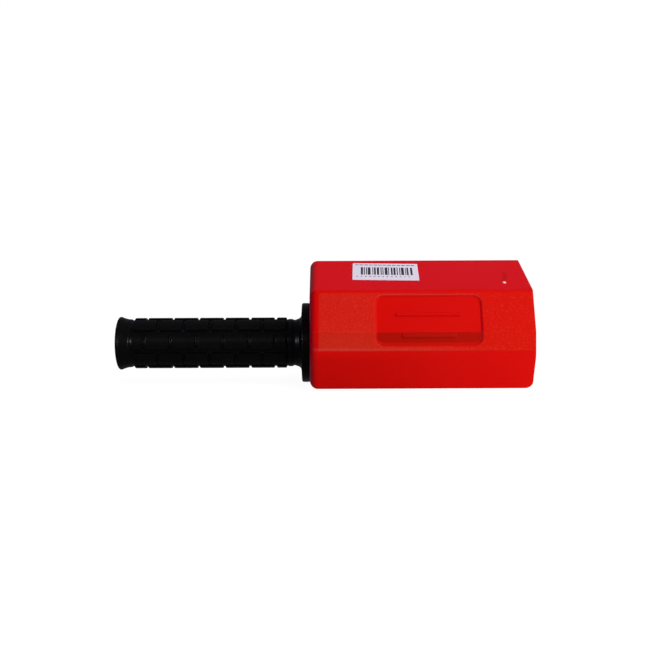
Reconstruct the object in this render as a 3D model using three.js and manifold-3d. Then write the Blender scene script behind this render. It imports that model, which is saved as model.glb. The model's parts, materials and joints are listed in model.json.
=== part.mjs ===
// A hooded handle for a drill-driven rotary brush: a red faceted guard hood on a black rubber bar
// grip, with a spindle that turns in two ball bearings inside the grip's tube.
//
// Frame: millimetres, +Z up, origin at the centre of the grip's flat rear end face, +X along the
// spindle towards the hood's open end. The hood is symmetrical about the plane Y = 0.
import * as THREE from "three";
import { mergeVertices } from "three/addons/utils/BufferGeometryUtils.js";
import Module from "manifold-3d";

const wasm = await Module();
wasm.setup();

// ---- Driving dimensions ---------------------------------------------------------------------

// Rubber grip, along X from its rear end
const GRIP_LENGTH = 138.5;
const GRIP_END_WALL = 3;
const GRIP_BARREL_RADIUS = 18.3;
const GRIP_NECK_RADIUS = 16.95;
const GRIP_FLARE_RADIUS = 19.2;
const GRIP_BEAD_RADIUS = 17.5;
const GRIP_BARREL_START = 11.3;
const GRIP_BARREL_END = 121.5;
const GRIP_FLANGE_RADIUS = 28.7;
const GRIP_FLANGE_THICKNESS = 6.6;

// Tread: rows of blocks round the barrel. The grooves of alternate rows are half a pitch apart.
const TREAD = {
  rows: 8,
  turn: 8, // of the near row above the horizontal, in degrees
  pitch: 18.6,
  firstGroove: 20.3, // centre of the near row's first groove
  groove: 1.3,
  channel: 10.4, // between two rows, in degrees
  slope: 0.4, // of the blocks' end walls, along X
};

// Guard hood: each half of its section runs down from the roof ridge over these flat facets.
// tilt is the angle of a facet's outward normal above the horizontal, in degrees.
const HOOD_LENGTH = 150.5;
const HOOD_WALL = 3;
const HOOD_RIDGE_HEIGHT = 59.3;
const HOOD_FACETS = [
  { name: "roof", tilt: 67.5, width: 51.2 },
  { name: "shoulder", tilt: 22.5, width: 29.8 },
  { name: "band", tilt: 3, width: 14.8 },
  { name: "bend", tilt: -9.75, width: 3.1 },
  { name: "skirt", tilt: -22.5, width: 22.9 },
];
const HOOD_END_ROUNDING = 5.5;
const HOOD_CORNER_ROUNDING = 5;

// Shallow panel sunk into the near shoulder and band
const PANEL_CENTRE_X = 79.7;
const PANEL_LENGTH = 72;
const PANEL_TOP_MARGIN = 3.3;
const PANEL_BELOW_CREASE = 9.3;
const PANEL_CORNER = 6;
const PANEL_DEPTH = 1.2;

// Paper label on the near roof facet, measured from the hood's end and down from the ridge
const LABEL = { length: 46, height: 29, thickness: 0.15, x: 53, down: 20.7, turn: -2.3 };

// Handle tube and its fastening through the hood's end wall
const TUBE_RADIUS = 11;
const TUBE_BORE = 9.5;
const TUBE_REAR_BORE = 8.4; // behind the step that the rear bearing sits against
const HUB_FLANGE_RADIUS = 20.5;
const HUB_FLANGE_THICKNESS = 3;
const CLAMP_RING = { inner: 11.4, outer: 19.5, thickness: 2.8 };
const SCREWS = { count: 4, circle: 15.6, shank: 1.9, hole: 2.15, head: 3.6, headHeight: 2.2 };
const SCREW_SOCKET = { radius: 1.35, depth: 1.3 };
const PLUG = { depth: 9, wall: 2 };

// Bearings, 10 x 19 x 5 mm
const BEARING = { bore: 5, outer: 9.5, width: 5, balls: 10, ball: 1.19, pitch: 7.25 };
const RACE_GROOVE_RADIUS = 1.06 * BEARING.ball;
const RACE_GROOVE_DEPTH = 0.52 * BEARING.ball; // from the pitch circle to a race's shoulder
const RACE_CHAMFER = 0.25;
const CAGE = { width: 3.2, thickness: 0.9, play: 0.15 };
const SEAL = { thickness: 0.35, recess: 0.1 };
const BEARING_SPACING = 45;
const INNER_SPACER_RADIUS = 6.3;
const OUTER_SPACER_BORE = 8.2;

// Circlips: flat rings with a gap and two ears. gap is in degrees.
const FRONT_CIRCLIP = { inner: 8.6, outer: 9.9, earCircle: 7.8, gap: 20, groove: 9.95 };
const SHAFT_CIRCLIP = { inner: 4.65, outer: 5.9, earCircle: 5.9, gap: 40, groove: 4.6 };
const CIRCLIP_THICKNESS = 1;
const CIRCLIP_EAR = { radius: 1.15, hole: 0.5 };

// Spindle
const SPINDLE_RADIUS = 4.97;
const SPINDLE_NOSE_RADIUS = 6.2;
const SPINDLE_REACH = 9.5; // how far the nose stands inside the hood
const SOCKET_FLATS = 6.35;
const SOCKET_DEPTH = 22;

// Clearances
const FIT = 0.05; // between fixed neighbours
const RUN = 0.1; // between turning neighbours, radially
const LOOSE = 0.3; // round screws and the hood's holes

const CHAMFER = 0.6;
const OVERSHOOT = 10; // how far a cutting solid reaches past what it cuts

// ---- Places along X ---------------------------------------------------------------------------

const HOOD_X = GRIP_LENGTH; // outer face of the hood's end wall
const WALL_INSIDE_X = HOOD_X + HOOD_WALL;
const HUB_X = WALL_INSIDE_X + FIT;
const HUB_FACE_X = HUB_X + HUB_FLANGE_THICKNESS;
const FRONT_CIRCLIP_X = HOOD_X - 1;
const FRONT_BEARING_X = FRONT_CIRCLIP_X - FIT - BEARING.width; // its rear face
const REAR_BEARING_X = FRONT_BEARING_X - BEARING_SPACING;
const SHAFT_CIRCLIP_X = REAR_BEARING_X - FIT - CIRCLIP_THICKNESS;
const NOSE_X = HOOD_X + SPINDLE_REACH;
const SPINDLE_END_X = SHAFT_CIRCLIP_X - 2;
const TUBE_START_X = 5;

const rad = THREE.MathUtils.degToRad;
const SEGMENTS = 32; // sides of a turned piece

// ---- Solids -----------------------------------------------------------------------------------

/** A closed geometry as a solid that can be joined and cut. */
function solid(geometry) {
  const plain = geometry.clone();
  plain.deleteAttribute("normal");
  plain.deleteAttribute("uv");
  const merged = mergeVertices(plain, 1e-4);
  return new wasm.Manifold(
    new wasm.Mesh({
      numProp: 3,
      vertProperties: new Float32Array(merged.attributes.position.array),
      triVerts: new Uint32Array(merged.index.array),
    }),
  );
}

/** A solid back as a geometry with flat shading. */
function geometryOf(body) {
  const mesh = body.getMesh();
  const indexed = new THREE.BufferGeometry();
  indexed.setAttribute("position", new THREE.BufferAttribute(mesh.vertProperties, 3));
  indexed.setIndex(new THREE.BufferAttribute(mesh.triVerts, 1));
  const flat = indexed.toNonIndexed();
  flat.computeVertexNormals();
  return flat;
}

/** Turns a profile of [x, radius] pairs about the X axis. It starts and ends on the axis. */
function turned(profile, segments = SEGMENTS) {
  const points = profile.map(([x, radius]) => new THREE.Vector2(radius, x));
  return new THREE.LatheGeometry(points, segments).rotateZ(-Math.PI / 2);
}

/** Turns a closed profile of [x, radius] pairs that stays clear of the axis. */
function turnedRing(profile, segments = SEGMENTS) {
  return turned([...profile, profile[0]], segments);
}

/** A round bar along X. */
function bar(x0, x1, radius, segments = 16) {
  return turned([[x0, 0], [x0, radius], [x1, radius], [x1, 0]], segments);
}

/** Points of an arc from angle a to angle b (degrees), as [x, radius] pairs. */
function arc(centreX, centreR, radius, a, b, steps) {
  return Array.from({ length: steps + 1 }, (_, i) => {
    const t = rad(a + ((b - a) * i) / steps);
    return [centreX + radius * Math.cos(t), centreR + radius * Math.sin(t)];
  });
}

/** The places of n things evenly spaced about the X axis, as angles. */
function around(n, start = 0) {
  return Array.from({ length: n }, (_, i) => start + (i * 2 * Math.PI) / n);
}

/** Extrudes a shape drawn in (Y, Z) along +X from x0 to x1. */
function alongX(shape, x0, x1, options = {}) {
  const depth = x1 - x0;
  return new THREE.ExtrudeGeometry(shape, { depth, bevelEnabled: false, ...options })
    .rotateX(Math.PI / 2)
    .rotateZ(Math.PI / 2)
    .translate(x0, 0, 0);
}

// ---- Hood section -----------------------------------------------------------------------------

/** Corners of the near half of the section, down from the ridge, moved inwards by an inset. */
function halfSection(inset) {
  const lines = [];
  let [y, z] = [0, HOOD_RIDGE_HEIGHT];
  for (const { tilt, width } of HOOD_FACETS) {
    const [ny, nz] = [-Math.cos(rad(tilt)), Math.sin(rad(tilt))];
    lines.push({ ny, nz, offset: ny * y + nz * z - inset });
    y -= width * Math.sin(rad(tilt));
    z -= width * Math.cos(rad(tilt));
  }
  const meet = (a, b) => {
    const det = a.ny * b.nz - a.nz * b.ny;
    return [(a.offset * b.nz - b.offset * a.nz) / det, (a.ny * b.offset - b.ny * a.offset) / det];
  };
  const plane = { ny: 1, nz: 0, offset: 0 };
  const floor = { ny: 0, nz: 1, offset: z };
  const sides = [plane, ...lines, floor];
  return sides.slice(1).map((line, i) => meet(sides[i], line));
}

/** The whole section as a shape in (Y, Z). drop carries its skirts further down. */
function sectionShape(inset, drop = 0) {
  const near = halfSection(inset);
  const [lowY, lowZ] = near.pop();
  const skirtTilt = HOOD_FACETS[HOOD_FACETS.length - 1].tilt;
  near.push([lowY - drop * Math.tan(rad(skirtTilt)), lowZ - drop]);
  const far = near.slice(1).reverse().map(([y, z]) => [-y, z]);
  return new THREE.Shape([...near, ...far].map(([y, z]) => new THREE.Vector2(y, z)));
}

/** A bar with the hood's section, rounded where it meets the end at x0. */
function sectionBar(inset, x0, x1, rounding, drop = 0) {
  const bevel = {
    bevelEnabled: true,
    bevelThickness: rounding,
    bevelSize: rounding,
    bevelOffset: -rounding,
    bevelSegments: 4,
  };
  return solid(alongX(sectionShape(inset, drop), x0 + rounding, x1 + rounding, bevel));
}

// ---- Pieces -----------------------------------------------------------------------------------

/** A place on a near facet: x from the hood's end, s down the facet, h out from its surface. */
function onFacet(index, x, s, h) {
  const [y, z] = halfSection(0)[index];
  const tilt = rad(HOOD_FACETS[index].tilt);
  return new THREE.Vector3(
    HOOD_X + x,
    y - s * Math.sin(tilt) - h * Math.cos(tilt),
    z - s * Math.cos(tilt) + h * Math.sin(tilt),
  );
}

/** Turns a geometry drawn in X (along the hood), Y (up the facet), Z (out) to face a near facet. */
function facing(geometry, index) {
  return geometry.rotateX(Math.PI / 2 - rad(HOOD_FACETS[index].tilt));
}

function roundedRectangle(width, height, radius) {
  const [w, h] = [width / 2, height / 2];
  const shape = new THREE.Shape();
  shape.moveTo(-w + radius, -h);
  shape.lineTo(w - radius, -h);
  shape.absarc(w - radius, -h + radius, radius, -Math.PI / 2, 0);
  shape.lineTo(w, h - radius);
  shape.absarc(w - radius, h - radius, radius, 0, Math.PI / 2);
  shape.lineTo(-w + radius, h);
  shape.absarc(-w + radius, h - radius, radius, Math.PI / 2, Math.PI);
  shape.lineTo(-w, -h + radius);
  shape.absarc(-w + radius, -h + radius, radius, Math.PI, 1.5 * Math.PI);
  return shape;
}

/** The material taken out for the sunk panel: a skin of the hood, panel depth thick. */
function panelCut() {
  const height = HOOD_FACETS[1].width - PANEL_TOP_MARGIN + PANEL_BELOW_CREASE;
  const outline = roundedRectangle(PANEL_LENGTH, height, PANEL_CORNER);
  const prism = new THREE.ExtrudeGeometry(outline, {
    depth: 2 * OVERSHOOT,
    bevelEnabled: false,
    curveSegments: 5,
  }).translate(0, 0, -OVERSHOOT);
  const centre = onFacet(1, PANEL_CENTRE_X, PANEL_TOP_MARGIN + height / 2, 0);
  facing(prism, 1).translate(centre.x, centre.y, centre.z);
  const core = sectionBar(PANEL_DEPTH, HOOD_X, HOOD_X + HOOD_LENGTH, 1);
  return solid(prism).subtract(core);
}

/** The hood's outline seen from the side, which trims its open end and rounds the low corners. */
function sideTrim() {
  const [, low] = halfSection(0)[HOOD_FACETS.length];
  const shape = new THREE.Shape();
  const end = HOOD_X + HOOD_LENGTH;
  shape.moveTo(HOOD_X - OVERSHOOT, low);
  shape.lineTo(end - HOOD_CORNER_ROUNDING, low);
  shape.absarc(
    end - HOOD_CORNER_ROUNDING,
    low + HOOD_CORNER_ROUNDING,
    HOOD_CORNER_ROUNDING,
    -Math.PI / 2,
    0,
  );
  shape.lineTo(end, HOOD_RIDGE_HEIGHT + OVERSHOOT);
  shape.lineTo(HOOD_X - OVERSHOOT, HOOD_RIDGE_HEIGHT + OVERSHOOT);
  const half = HOOD_RIDGE_HEIGHT + OVERSHOOT; // the hood is about as wide as it is high
  return solid(
    new THREE.ExtrudeGeometry(shape, { depth: 2 * half, bevelEnabled: false, curveSegments: 4 })
      .rotateX(Math.PI / 2)
      .translate(0, half, 0),
  );
}

function guardHood() {
  const end = HOOD_X + HOOD_LENGTH;
  const far = end + OVERSHOOT;
  const outer = sectionBar(0, HOOD_X, far, HOOD_END_ROUNDING);
  const innerRounding = HOOD_END_ROUNDING - HOOD_WALL;
  const hollow = sectionBar(HOOD_WALL, WALL_INSIDE_X, far + 1, innerRounding, OVERSHOOT);
  let shell = outer.subtract(hollow).intersect(sideTrim()).subtract(panelCut());
  const throughWall = (radius) => bar(HOOD_X - OVERSHOOT, WALL_INSIDE_X + OVERSHOOT, radius);
  shell = shell.subtract(solid(throughWall(TUBE_RADIUS + LOOSE)));
  for (const angle of around(SCREWS.count, Math.PI / 4)) {
    shell = shell.subtract(solid(onScrewCircle(throughWall(SCREWS.hole + RUN), angle)));
  }
  return geometryOf(shell);
}

/** Moves a geometry made on the X axis out to a screw's place. */
function onScrewCircle(geometry, angle) {
  return geometry.translate(0, SCREWS.circle * Math.cos(angle), SCREWS.circle * Math.sin(angle));
}

/** A slice of everything round the X axis: middle and width are angles in degrees. */
function wedge(middle, width) {
  const reach = 2 * GRIP_BARREL_RADIUS;
  const shape = new THREE.Shape();
  shape.moveTo(0, 0);
  for (const angle of [rad(middle - width / 2), rad(middle + width / 2)]) {
    shape.lineTo(reach * Math.cos(angle), reach * Math.sin(angle));
  }
  return solid(alongX(shape, 0, GRIP_LENGTH));
}

/** The channels between the rows of tread and the shallower grooves across them, to take out. */
function treadGaps() {
  const ring = (x0, x1, floor) => solid(sleeve(x0, x1, floor, GRIP_BARREL_RADIUS + 1));
  const step = 360 / TREAD.rows;
  const middles = Array.from({ length: TREAD.rows }, (_, row) => 180 - TREAD.turn + row * step);
  const whole = ring(GRIP_BARREL_START - 1, GRIP_BARREL_END + 1, GRIP_NECK_RADIUS + FIT);
  const gaps = middles.map((middle) => whole.intersect(wedge(middle + step / 2, TREAD.channel)));
  middles.forEach((middle, row) => {
    const sector = wedge(middle, step - TREAD.channel / 2);
    const first = TREAD.firstGroove + (row % 2) * (TREAD.pitch / 2);
    for (let x = first; x < GRIP_BARREL_END - TREAD.groove; x += TREAD.pitch) {
      const [start, end] = [x - TREAD.groove / 2, x + TREAD.groove / 2];
      gaps.push(ring(start, end, GRIP_NECK_RADIUS + 2 * FIT).intersect(sector));
    }
  });
  return wasm.Manifold.union(gaps);
}

function rubberGrip() {
  const flangeX = GRIP_LENGTH - GRIP_FLANGE_THICKNESS;
  const faceX = GRIP_LENGTH - FIT;
  const bore = TUBE_RADIUS + 2 * FIT;
  const pocket = CLAMP_RING.outer + LOOSE;
  const pocketX = GRIP_LENGTH - CLAMP_RING.thickness - LOOSE;
  const body = turned([
    [0, 0],
    [0, GRIP_FLARE_RADIUS - 0.8],
    [0.8, GRIP_FLARE_RADIUS],
    [1.6, GRIP_FLARE_RADIUS],
    [3.6, GRIP_FLARE_RADIUS - 0.9],
    [GRIP_BARREL_START - 4.3, GRIP_BEAD_RADIUS],
    [GRIP_BARREL_START - 2.8, GRIP_BEAD_RADIUS],
    [GRIP_BARREL_START - 1.8, GRIP_NECK_RADIUS],
    [GRIP_BARREL_START, GRIP_NECK_RADIUS],
    [GRIP_BARREL_START + TREAD.slope, GRIP_BARREL_RADIUS],
    [GRIP_BARREL_END - TREAD.slope, GRIP_BARREL_RADIUS],
    [GRIP_BARREL_END, GRIP_NECK_RADIUS],
    [flangeX - 3.5, GRIP_NECK_RADIUS],
    [flangeX - 1, GRIP_NECK_RADIUS + 1],
    [flangeX, GRIP_NECK_RADIUS + 3.5],
    [flangeX, GRIP_FLANGE_RADIUS - 1],
    [flangeX + 1, GRIP_FLANGE_RADIUS],
    [faceX - 1, GRIP_FLANGE_RADIUS],
    [faceX, GRIP_FLANGE_RADIUS - 1],
    [faceX, pocket],
    [pocketX, pocket],
    [pocketX, bore],
    [GRIP_END_WALL, bore],
    [GRIP_END_WALL, 0],
  ]);
  return geometryOf(solid(body).subtract(treadGaps()));
}

function barcodeLabel() {
  const plate = new THREE.BoxGeometry(LABEL.length, LABEL.height, LABEL.thickness);
  plate.rotateZ(rad(LABEL.turn));
  const place = onFacet(0, LABEL.x, LABEL.down, LABEL.thickness / 2 + FIT);
  return facing(plate, 0).translate(place.x, place.y, place.z);
}

function handleTube() {
  const grooveStart = FRONT_CIRCLIP_X - FIT / 2;
  const grooveEnd = FRONT_CIRCLIP_X + CIRCLIP_THICKNESS + FIT;
  let tube = solid(
    turnedRing([
      [TUBE_START_X, TUBE_REAR_BORE],
      [TUBE_START_X, TUBE_RADIUS],
      [HUB_X, TUBE_RADIUS],
      [HUB_X, HUB_FLANGE_RADIUS],
      [HUB_FACE_X - CHAMFER, HUB_FLANGE_RADIUS],
      [HUB_FACE_X, HUB_FLANGE_RADIUS - CHAMFER],
      [HUB_FACE_X, TUBE_BORE],
      [grooveEnd, TUBE_BORE],
      [grooveEnd, FRONT_CIRCLIP.groove],
      [grooveStart, FRONT_CIRCLIP.groove],
      [grooveStart, TUBE_BORE],
      [REAR_BEARING_X - FIT, TUBE_BORE],
      [REAR_BEARING_X - FIT, TUBE_REAR_BORE],
    ]),
  );
  for (const angle of around(SCREWS.count, Math.PI / 4)) {
    const hole = bar(HUB_X - OVERSHOOT, HUB_FACE_X + OVERSHOOT, SCREWS.hole);
    tube = tube.subtract(solid(onScrewCircle(hole, angle)));
  }
  return geometryOf(tube);
}

function clampRing() {
  const { inner, outer, thickness } = CLAMP_RING;
  const [x0, x1] = [HOOD_X - FIT - thickness, HOOD_X - FIT];
  let ring = solid(
    turnedRing([
      [x0, inner],
      [x0, outer - CHAMFER],
      [x0 + CHAMFER, outer],
      [x1, outer],
      [x1, inner],
    ]),
  );
  for (const angle of around(SCREWS.count, Math.PI / 4)) {
    const hole = bar(x0 - OVERSHOOT, x1 + OVERSHOOT, SCREWS.shank + FIT);
    ring = ring.subtract(solid(onScrewCircle(hole, angle)));
  }
  return geometryOf(ring);
}

/** Button head screw on the X axis, its head towards +X, with a hexagon socket. */
function flangeScrew() {
  const under = HUB_FACE_X + FIT;
  const top = under + SCREWS.headHeight;
  const tip = HOOD_X - CLAMP_RING.thickness + LOOSE;
  const body = turned(
    [
      [tip, 0],
      [tip, SCREWS.shank - CHAMFER],
      [tip + CHAMFER, SCREWS.shank],
      [under, SCREWS.shank],
      [under, SCREWS.head],
      [under + CHAMFER, SCREWS.head],
      [top - CHAMFER, SCREWS.head - 1],
      [top, SCREWS.head - 2],
      [top, 0],
    ],
    18,
  );
  const socket = bar(top - SCREW_SOCKET.depth, top + OVERSHOOT, SCREW_SOCKET.radius, 6);
  return geometryOf(solid(body).subtract(solid(socket)));
}

function tubePlug() {
  const back = GRIP_END_WALL + FIT;
  const head = TUBE_START_X - FIT;
  const outer = TUBE_REAR_BORE - FIT;
  return turned([
    [back, 0],
    [back, TUBE_RADIUS - CHAMFER],
    [back + CHAMFER, TUBE_RADIUS],
    [head, TUBE_RADIUS],
    [head, outer],
    [head + PLUG.depth - CHAMFER, outer],
    [head + PLUG.depth, outer - CHAMFER],
    [head + PLUG.depth, outer - PLUG.wall],
    [head + PLUG.wall / 2, outer - PLUG.wall],
    [head + PLUG.wall / 2, 0],
  ]);
}

// A bearing lies along +X from x to x + width. Its balls run on the pitch radius, half way along.

const INNER_SHOULDER = BEARING.pitch - RACE_GROOVE_DEPTH;
const OUTER_SHOULDER = BEARING.pitch + RACE_GROOVE_DEPTH;
const GROOVE_SHIFT = RACE_GROOVE_RADIUS - BEARING.ball - RUN; // of a groove's centre past the balls'

/** Half the angle of a race groove's arc between its two shoulders. */
function grooveHalfAngle() {
  const drop = RACE_GROOVE_DEPTH + GROOVE_SHIFT;
  return THREE.MathUtils.radToDeg(Math.acos(drop / RACE_GROOVE_RADIUS));
}

function outerRace(x) {
  const middle = x + BEARING.width / 2;
  const outer = BEARING.outer - FIT;
  const half = grooveHalfAngle();
  const centre = BEARING.pitch - GROOVE_SHIFT;
  return turnedRing([
    [x, OUTER_SHOULDER],
    [x, outer - RACE_CHAMFER],
    [x + RACE_CHAMFER, outer],
    [x + BEARING.width - RACE_CHAMFER, outer],
    [x + BEARING.width, outer - RACE_CHAMFER],
    [x + BEARING.width, OUTER_SHOULDER],
    ...arc(middle, centre, RACE_GROOVE_RADIUS, 90 - half, 90 + half, 5),
  ]);
}

function innerRace(x) {
  const middle = x + BEARING.width / 2;
  const bore = BEARING.bore + FIT / 2;
  const half = grooveHalfAngle();
  const centre = BEARING.pitch + GROOVE_SHIFT;
  return turnedRing([
    [x, bore + RACE_CHAMFER],
    [x, INNER_SHOULDER],
    ...arc(middle, centre, RACE_GROOVE_RADIUS, 270 - half, 270 + half, 5),
    [x + BEARING.width, INNER_SHOULDER],
    [x + BEARING.width, bore + RACE_CHAMFER],
    [x + BEARING.width - RACE_CHAMFER, bore],
    [x + RACE_CHAMFER, bore],
  ]);
}

function ballCage(x) {
  const middle = x + BEARING.width / 2;
  const inner = BEARING.pitch - CAGE.thickness / 2;
  const ends = [middle - CAGE.width / 2, middle + CAGE.width / 2];
  let cage = solid(sleeve(...ends, inner, inner + CAGE.thickness, 2 * BEARING.balls));
  const hole = BEARING.ball + CAGE.play;
  for (const angle of around(BEARING.balls)) {
    const pocket = new THREE.CylinderGeometry(hole, hole, BEARING.width, 8);
    pocket.translate(middle, BEARING.pitch, 0).rotateX(angle);
    cage = cage.subtract(solid(pocket));
  }
  return geometryOf(cage);
}

/** Rubber-faced disc in the outer race's mouth, clear of the turning inner race. */
function seal(x, side) {
  const inwards = SEAL.recess + (side < 0 ? 0 : SEAL.thickness);
  const start = side < 0 ? x + inwards : x + BEARING.width - inwards;
  return sleeve(start, start + SEAL.thickness, INNER_SHOULDER + RUN, OUTER_SHOULDER - FIT);
}

/** A plain tube from x0 to x1. */
function sleeve(x0, x1, inner, outer, segments = SEGMENTS) {
  return turnedRing([[x0, inner], [x0, outer], [x1, outer], [x1, inner]], segments);
}

/** Flat spring ring with a gap and two eared ends with plier holes. */
function circlip(x, { inner, outer, earCircle, gap }) {
  const shape = new THREE.Shape();
  const half = rad(gap / 2);
  const start = Math.PI / 2 + half;
  shape.absarc(0, 0, outer, start, start + 2 * Math.PI - 2 * half);
  shape.absarc(0, 0, inner, start + 2 * Math.PI - 2 * half, start, true);
  const options = { depth: CIRCLIP_THICKNESS, bevelEnabled: false, curveSegments: 12 };
  const lay = (geometry) => geometry.rotateX(Math.PI / 2).rotateZ(Math.PI / 2).translate(x, 0, 0);
  let ring = solid(lay(new THREE.ExtrudeGeometry(shape, options)));
  for (const side of [-1, 1]) {
    const angle = Math.PI / 2 + side * (half + CIRCLIP_EAR.radius / earCircle);
    const centre = [earCircle * Math.cos(angle), earCircle * Math.sin(angle)];
    const ear = new THREE.Shape().absarc(...centre, CIRCLIP_EAR.radius, 0, 2 * Math.PI);
    const hole = new THREE.Shape().absarc(...centre, CIRCLIP_EAR.hole, 0, 2 * Math.PI);
    const round = { ...options, curveSegments: 6 };
    ring = ring.add(solid(lay(new THREE.ExtrudeGeometry(ear, round))));
    const drill = new THREE.ExtrudeGeometry(hole, { ...round, depth: 3 * CIRCLIP_THICKNESS });
    ring = ring.subtract(solid(lay(drill.translate(0, 0, -CIRCLIP_THICKNESS))));
  }
  return geometryOf(ring);
}

function spindle() {
  const shoulder = FRONT_BEARING_X + BEARING.width + FIT;
  const grooveStart = SHAFT_CIRCLIP_X - FIT;
  const grooveEnd = SHAFT_CIRCLIP_X + CIRCLIP_THICKNESS + FIT / 2;
  const body = turned([
    [SPINDLE_END_X, 0],
    [SPINDLE_END_X, SPINDLE_RADIUS - CHAMFER],
    [SPINDLE_END_X + CHAMFER, SPINDLE_RADIUS],
    [grooveStart, SPINDLE_RADIUS],
    [grooveStart, SHAFT_CIRCLIP.groove],
    [grooveEnd, SHAFT_CIRCLIP.groove],
    [grooveEnd, SPINDLE_RADIUS],
    [shoulder, SPINDLE_RADIUS],
    [shoulder, SPINDLE_NOSE_RADIUS],
    [NOSE_X - CHAMFER, SPINDLE_NOSE_RADIUS],
    [NOSE_X, SPINDLE_NOSE_RADIUS - CHAMFER],
    [NOSE_X, 0],
  ]);
  const toCorner = SOCKET_FLATS / 2 / Math.cos(Math.PI / 6);
  const socket = bar(NOSE_X - SOCKET_DEPTH, NOSE_X + OVERSHOOT, toCorner, 6);
  return geometryOf(solid(body).subtract(solid(socket)));
}

// ---- Materials --------------------------------------------------------------------------------

const look = (color, roughness, metalness) => ({ color, roughness, metalness });
const RED_PLASTIC = look(0xd4160f, 0.35, 0);
const BLACK_RUBBER = look(0x101012, 0.6, 0);
const PAPER = look(0xe4e0ec, 0.7, 0);
const ALUMINIUM = look(0xc4c7cb, 0.35, 1);
const STEEL = look(0x9a9da2, 0.3, 1);
const BEARING_STEEL = look(0xb8bbc0, 0.15, 1);
const SPRING_STEEL = look(0x3a3b3f, 0.4, 1);
const GREY_PLASTIC = look(0x4a4c50, 0.55, 0);
const SEAL_RUBBER = look(0x1b1b1d, 0.7, 0);

// ---- Assembly ---------------------------------------------------------------------------------

const assembly = new THREE.Group();
assembly.name = "hooded_brush_handle";

function place(name, geometry, finish, parent = assembly) {
  const mesh = new THREE.Mesh(geometry, new THREE.MeshStandardMaterial(finish));
  mesh.name = name;
  parent.add(mesh);
  return mesh;
}

place("guard_hood", guardHood(), RED_PLASTIC);
place("barcode_label", barcodeLabel(), PAPER);
place("rubber_grip", rubberGrip(), BLACK_RUBBER);
place("handle_tube", handleTube(), ALUMINIUM);
place("clamp_ring", clampRing(), STEEL);
place("tube_plug", tubePlug(), GREY_PLASTIC);
around(SCREWS.count, Math.PI / 4).forEach((angle, i) => {
  const screw = place(`flange_screw_${i + 1}`, flangeScrew(), STEEL);
  screw.position.set(0, SCREWS.circle * Math.cos(angle), SCREWS.circle * Math.sin(angle));
});

place("spindle", spindle(), STEEL);
const BETWEEN = [REAR_BEARING_X + BEARING.width + FIT, FRONT_BEARING_X - FIT];
place("inner_spacer", sleeve(...BETWEEN, BEARING.bore + FIT, INNER_SPACER_RADIUS), ALUMINIUM);
place("outer_spacer", sleeve(...BETWEEN, OUTER_SPACER_BORE, TUBE_BORE - FIT), ALUMINIUM);
place("front_circlip", circlip(FRONT_CIRCLIP_X, FRONT_CIRCLIP), SPRING_STEEL);
place("shaft_circlip", circlip(SHAFT_CIRCLIP_X, SHAFT_CIRCLIP), SPRING_STEEL);

for (const [side, x] of [["front", FRONT_BEARING_X], ["rear", REAR_BEARING_X]]) {
  place(`${side}_outer_race`, outerRace(x), BEARING_STEEL);
  place(`${side}_inner_race`, innerRace(x), BEARING_STEEL);
  place(`${side}_cage`, ballCage(x), GREY_PLASTIC);
  place(`${side}_seal_a`, seal(x, -1), SEAL_RUBBER);
  place(`${side}_seal_b`, seal(x, 1), SEAL_RUBBER);
  const row = new THREE.Group();
  row.position.x = x + BEARING.width / 2;
  assembly.add(row);
  around(BEARING.balls).forEach((angle, i) => {
    const sphere = new THREE.SphereGeometry(BEARING.ball, 8, 6);
    const ball = place(`${side}_ball_${i + 1}`, sphere, BEARING_STEEL, row);
    ball.position.set(0, BEARING.pitch * Math.cos(angle), BEARING.pitch * Math.sin(angle));
  });
}

export default assembly;
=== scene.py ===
"""Looks of a hooded brush handle: red guard hood, black rubber grip, label, and the bearings and
spindle inside. Pieces are drawn in millimetres in the CAD frame: +X along the spindle towards the
hood's open end, the near side at -Y, +Z up. Meshes are made in metres."""

import json
from math import acos, atan2, copysign, cos, degrees, dist, hypot, pi, radians, sin, sqrt, tan
from types import SimpleNamespace as Sizes

import bmesh
import bpy
from mathutils import Euler, Matrix, Vector

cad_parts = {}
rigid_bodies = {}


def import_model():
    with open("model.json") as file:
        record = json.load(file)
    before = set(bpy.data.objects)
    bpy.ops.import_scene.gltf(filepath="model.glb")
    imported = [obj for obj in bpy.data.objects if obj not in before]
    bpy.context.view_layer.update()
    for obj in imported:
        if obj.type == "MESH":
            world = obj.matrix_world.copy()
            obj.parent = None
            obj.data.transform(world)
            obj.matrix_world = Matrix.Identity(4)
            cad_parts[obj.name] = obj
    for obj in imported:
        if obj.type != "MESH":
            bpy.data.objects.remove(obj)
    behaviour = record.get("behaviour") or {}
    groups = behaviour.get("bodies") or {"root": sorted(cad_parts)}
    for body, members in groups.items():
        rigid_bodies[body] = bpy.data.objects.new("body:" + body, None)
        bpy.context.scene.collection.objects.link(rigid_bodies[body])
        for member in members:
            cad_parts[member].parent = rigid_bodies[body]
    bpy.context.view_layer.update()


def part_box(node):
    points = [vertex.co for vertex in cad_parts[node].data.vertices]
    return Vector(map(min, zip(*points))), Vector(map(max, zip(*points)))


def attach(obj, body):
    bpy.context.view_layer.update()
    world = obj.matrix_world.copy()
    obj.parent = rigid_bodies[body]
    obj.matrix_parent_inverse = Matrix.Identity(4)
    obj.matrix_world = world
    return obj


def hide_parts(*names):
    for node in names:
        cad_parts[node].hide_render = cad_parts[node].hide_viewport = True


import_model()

MM = 0.001
SEGMENTS = 96  # around a turned piece
SMALLEST_ROUNDING = 0.02  # a corner with less room stays sharp


def span(node):
    """Lowest and highest corner of a CAD node, in millimetres."""
    low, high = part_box(node)
    return low / MM, high / MM


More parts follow.
